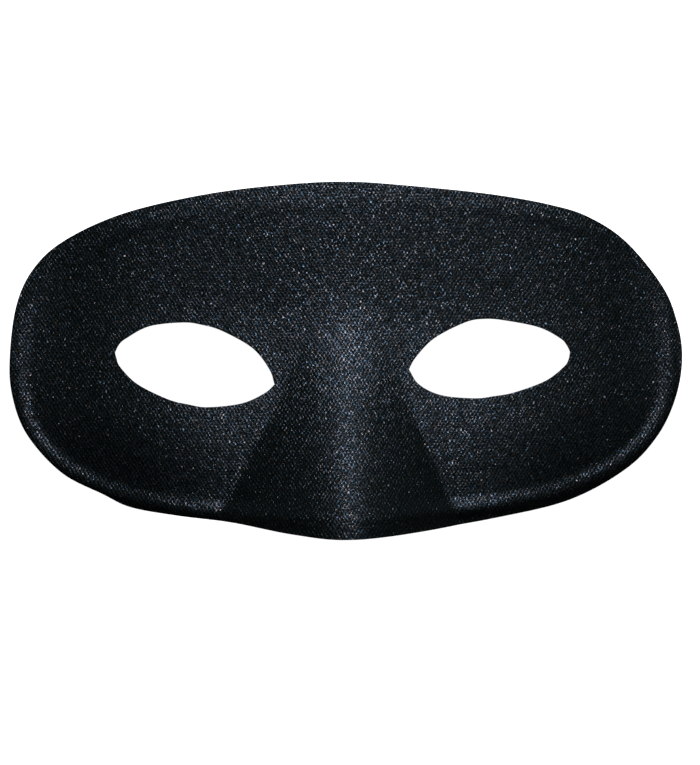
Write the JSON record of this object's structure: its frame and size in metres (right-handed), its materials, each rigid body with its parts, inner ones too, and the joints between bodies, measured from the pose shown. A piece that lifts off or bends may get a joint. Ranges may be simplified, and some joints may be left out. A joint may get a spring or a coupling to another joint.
{
  "type": "masquerade half mask",
  "caption": "Arched oval half mask of black cloth on a thin moulded backing, with almond eye holes, a ridged nose and a beaded rim.",
  "frame": {"origin": "on the table, under the middle of the mask's outline box", "axes": "+X across the mask towards the viewer's right, +Y up the face towards the brow, +Z out of the face and up from the table that the mask lies on"},
  "size_m": [0.18, 0.0934, 0.0607],
  "materials": {
    "black_cloth": "satin",
    "black_felt": "matte"
  },
  "bodies": {
    "root": {"mask_shell": "black_cloth", "elastic_patch_left": "black_felt", "elastic_patch_right": "black_felt"}
  },
  "joints": []
}
